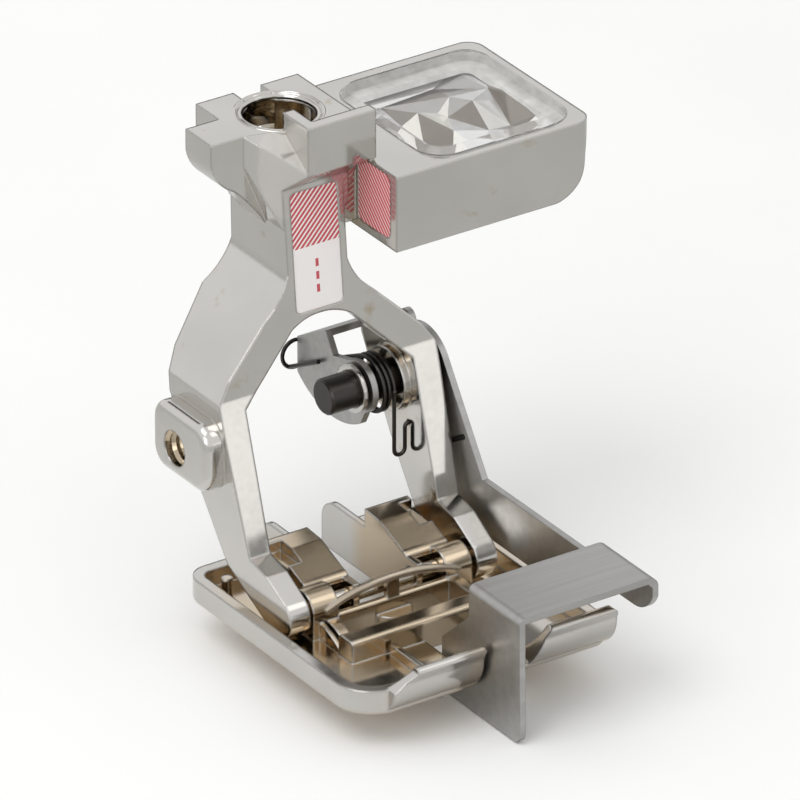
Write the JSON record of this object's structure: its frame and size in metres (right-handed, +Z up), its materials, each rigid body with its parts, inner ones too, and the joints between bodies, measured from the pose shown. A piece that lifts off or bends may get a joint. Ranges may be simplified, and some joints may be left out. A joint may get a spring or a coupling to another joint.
{
  "type": "sewing machine presser foot",
  "caption": "Socket-fitting presser foot with a hinged tray sole, a sprung sheet edge guide and a side sensor window.",
  "frame": {"origin": "on the socket's axis, in the flat top plane of the head", "axes": "+Z up along the socket's axis, -Y to the front where the needle works, +X towards the sensor box"},
  "size_m": [0.0288, 0.0335, 0.0353],
  "materials": {
    "nickel": "nickel plated, satin bright",
    "stainless": "matte sheet",
    "pin_steel": "darkened steel",
    "spring_steel": "dark wire",
    "clear": "clear polished",
    "mirror": "facetted bright",
    "label_ink": "printed film"
  },
  "bodies": {
    "fork": {"fork_body": "nickel", "hinge_axle": "nickel", "pivot_pin": "pin_steel", "pivot_washer": "nickel", "return_spring": "spring_steel", "sensor_window": "clear", "sensor_mirror": "mirror", "front_label": "label_ink", "side_label": "label_ink"},
    "sole": {"sole": "nickel"},
    "guide": {"edge_guide": "stainless"}
  },
  "joints": [
    {"name": "sole_tilt", "type": "hinge", "parent": "fork", "child": "sole", "pos_m": [0, -0.0119, -0.0294], "axis": [1, 0, 0], "range_deg": [-6, 6]},
    {"name": "guide_swing", "type": "hinge", "parent": "fork", "child": "guide", "pos_m": [0.009, -0.0034, -0.01975], "axis": [-1, 0, 0], "range_deg": [0, 8], "stiffness_Nm_per_rad": 0.004, "springref_deg": -17.19}
  ]
}
